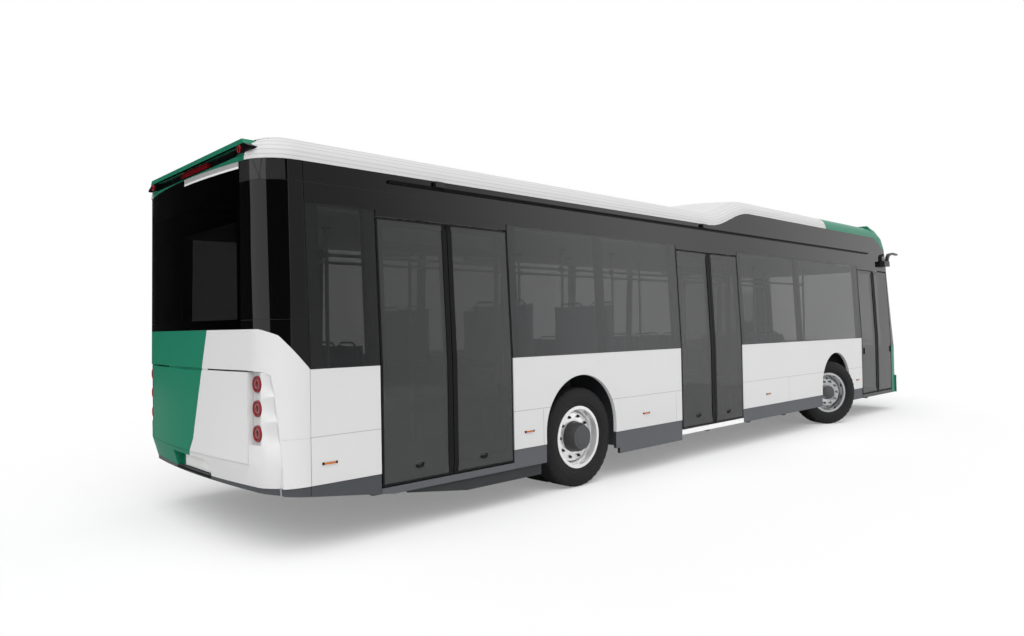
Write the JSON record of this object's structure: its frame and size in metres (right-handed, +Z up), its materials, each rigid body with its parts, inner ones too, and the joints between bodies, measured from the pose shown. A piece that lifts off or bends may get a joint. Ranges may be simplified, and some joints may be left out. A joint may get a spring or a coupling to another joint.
{
  "type": "electric city bus",
  "caption": "Low-floor electric city bus with double doors along the right side, steered front wheels, twin rear wheels, raised roof cover and a rear service flap.",
  "frame": {"origin": "on the road, on the centre line of the bus, 2.65 m ahead of the rear axle", "axes": "+X towards the front, +Y to the left side, +Z up"},
  "size_m": [11.9, 2.8216, 3.2204],
  "materials": {
    "white_paint": "gloss",
    "green_paint": "gloss",
    "black_gloss": "gloss",
    "skirt_grey": "satin",
    "tinted_glass": "clear",
    "clear_glass": "clear",
    "frame_steel": "satin",
    "tyre_rubber": "matte",
    "rim_alloy": "polished",
    "lamp_red": "gloss",
    "lamp_amber": "gloss",
    "lamp_clear": "gloss",
    "dark_plastic": "matte",
    "light_plastic": "matte",
    "sign_white": "matte",
    "seat_fabric": "matte",
    "floor_grey": "matte",
    "pole_yellow": "gloss",
    "door_steel": "brushed"
  },
  "bodies": {
    "body": {"underframe": "frame_steel", "floor_pan": "floor_grey", "side_panels": "white_paint", "skirts": "skirt_grey", "door_sills": "white_paint", "side_pillars": "dark_plastic", "side_glass": "tinted_glass", "cant_rails": "black_gloss", "roof_cover": "white_paint", "roof_front_cap": "green_paint", "ceiling": "light_plastic", "power_packs": "frame_steel", "corner_pillars": "black_gloss", "rear_bumper": "green_paint", "rear_hood": "white_paint", "rear_window": "black_gloss", "rear_spoiler": "green_paint", "rear_display": "sign_white", "tail_lamps": "lamp_red", "number_plate": "sign_white", "front_panel": "green_paint", "windscreen": "tinted_glass", "headlamps": "lamp_clear", "wipers": "dark_plastic", "camera_arms": "dark_plastic", "side_markers": "lamp_amber", "seat_cushions": "seat_fabric", "seat_backs": "seat_fabric", "grab_poles": "pole_yellow", "driver_console": "dark_plastic", "driver_partition": "clear_glass", "front_axle": "frame_steel", "rear_axle": "frame_steel"},
    "rear_flap": {"rear_flap": "green_paint"},
    "knuckle_left": {"knuckle_left": "frame_steel"},
    "knuckle_right": {"knuckle_right": "frame_steel"},
    "wheel_front_left": {"tyre_front_left": "tyre_rubber", "rim_front_left": "rim_alloy"},
    "wheel_front_right": {"tyre_front_right": "tyre_rubber", "rim_front_right": "rim_alloy"},
    "wheel_rear_left": {"tyres_rear_left": "tyre_rubber", "rim_rear_left": "rim_alloy"},
    "wheel_rear_right": {"tyres_rear_right": "tyre_rubber", "rim_rear_right": "rim_alloy"},
    "door1_leaf_a": {"door1_frame_a": "dark_plastic", "door1_glass_a": "tinted_glass"},
    "door1_leaf_b": {"door1_frame_b": "dark_plastic", "door1_glass_b": "tinted_glass"},
    "door2_post_a": {"door2_post_a": "door_steel"},
    "door2_leaf_a": {"door2_frame_a": "dark_plastic", "door2_glass_a": "tinted_glass"},
    "door2_post_b": {"door2_post_b": "door_steel"},
    "door2_leaf_b": {"door2_frame_b": "dark_plastic", "door2_glass_b": "tinted_glass"},
    "door3_post_a": {"door3_post_a": "door_steel"},
    "door3_leaf_a": {"door3_frame_a": "dark_plastic", "door3_glass_a": "tinted_glass"},
    "door3_post_b": {"door3_post_b": "door_steel"},
    "door3_leaf_b": {"door3_frame_b": "dark_plastic", "door3_glass_b": "tinted_glass"}
  },
  "joints": [
    {"name": "rear_flap_hinge", "type": "hinge", "parent": "body", "child": "rear_flap", "pos_m": [-5.886, 0, 1.279], "axis": [0, 1, 0], "range_deg": [0, 80]},
    {"name": "steer_right", "type": "hinge", "parent": "body", "child": "knuckle_right", "pos_m": [3.25, -1, 0.4785], "axis": [0, 0, -1], "range_deg": [-73, 17]},
    {"name": "steer_left", "type": "hinge", "parent": "body", "child": "knuckle_left", "pos_m": [3.25, 1, 0.4785], "axis": [0, 0, -1], "range_deg": [-73, 17]},
    {"name": "wheel_front_right_spin", "type": "hinge", "parent": "knuckle_right", "child": "wheel_front_right", "pos_m": [3.25, -1, 0.4785], "axis": [0.4695, 0.8829, 0], "continuous": true},
    {"name": "wheel_front_left_spin", "type": "hinge", "parent": "knuckle_left", "child": "wheel_front_left", "pos_m": [3.25, 1, 0.4785], "axis": [0.4695, 0.8829, 0], "continuous": true},
    {"name": "wheel_rear_right_spin", "type": "hinge", "parent": "body", "child": "wheel_rear_right", "pos_m": [-2.65, -1.1, 0.4785], "axis": [0, 1, 0], "continuous": true},
    {"name": "wheel_rear_left_spin", "type": "hinge", "parent": "body", "child": "wheel_rear_left", "pos_m": [-2.65, 1.1, 0.4785], "axis": [0, 1, 0], "continuous": true},
    {"name": "door1_a", "type": "hinge", "parent": "body", "child": "door1_leaf_a", "pos_m": [4.31, -1.19, 1.4], "axis": [0, 0, 1], "range_deg": [0, 88]},
    {"name": "door1_b", "type": "hinge", "parent": "body", "child": "door1_leaf_b", "pos_m": [5.5, -1.19, 1.4], "axis": [0, 0, -1], "range_deg": [0, 88]},
    {"name": "door2_arm_a", "type": "hinge", "parent": "body", "child": "door2_post_a", "pos_m": [-0.897, -1.13, 1.4], "axis": [0, 0, -1], "range_deg": [0, 150]},
    {"name": "door2_swivel_a", "type": "hinge", "parent": "door2_post_a", "child": "door2_leaf_a", "pos_m": [-0.537, -1.13, 1.4], "axis": [0, 0, -1], "range_deg": [-150, 0]},
    {"name": "door2_arm_b", "type": "hinge", "parent": "body", "child": "door2_post_b", "pos_m": [0.363, -1.13, 1.4], "axis": [0, 0, 1], "range_deg": [0, 150]},
    {"name": "door2_swivel_b", "type": "hinge", "parent": "door2_post_b", "child": "door2_leaf_b", "pos_m": [0.003, -1.13, 1.4], "axis": [0, 0, 1], "range_deg": [-150, 0]},
    {"name": "door3_arm_a", "type": "hinge", "parent": "body", "child": "door3_post_a", "pos_m": [-4.887, -1.13, 1.4], "axis": [0, 0, -1], "range_deg": [0, 150]},
    {"name": "door3_swivel_a", "type": "hinge", "parent": "door3_post_a", "child": "door3_leaf_a", "pos_m": [-4.527, -1.13, 1.4], "axis": [0, 0, -1], "range_deg": [-150, 0]},
    {"name": "door3_arm_b", "type": "hinge", "parent": "body", "child": "door3_post_b", "pos_m": [-3.627, -1.13, 1.4], "axis": [0, 0, 1], "range_deg": [0, 150]},
    {"name": "door3_swivel_b", "type": "hinge", "parent": "door3_post_b", "child": "door3_leaf_b", "pos_m": [-3.987, -1.13, 1.4], "axis": [0, 0, 1], "range_deg": [-150, 0]}
  ],
  "couplings": [
    {"joint": "steer_left", "follows": "steer_right", "ratio": 1},
    {"joint": "door1_b", "follows": "door1_a", "ratio": 1},
    {"joint": "door2_swivel_a", "follows": "door2_arm_a", "ratio": -1},
    {"joint": "door2_arm_b", "follows": "door2_arm_a", "ratio": 1},
    {"joint": "door2_swivel_b", "follows": "door2_arm_a", "ratio": -1},
    {"joint": "door3_swivel_a", "follows": "door3_arm_a", "ratio": -1},
    {"joint": "door3_arm_b", "follows": "door3_arm_a", "ratio": 1},
    {"joint": "door3_swivel_b", "follows": "door3_arm_a", "ratio": -1}
  ]
}
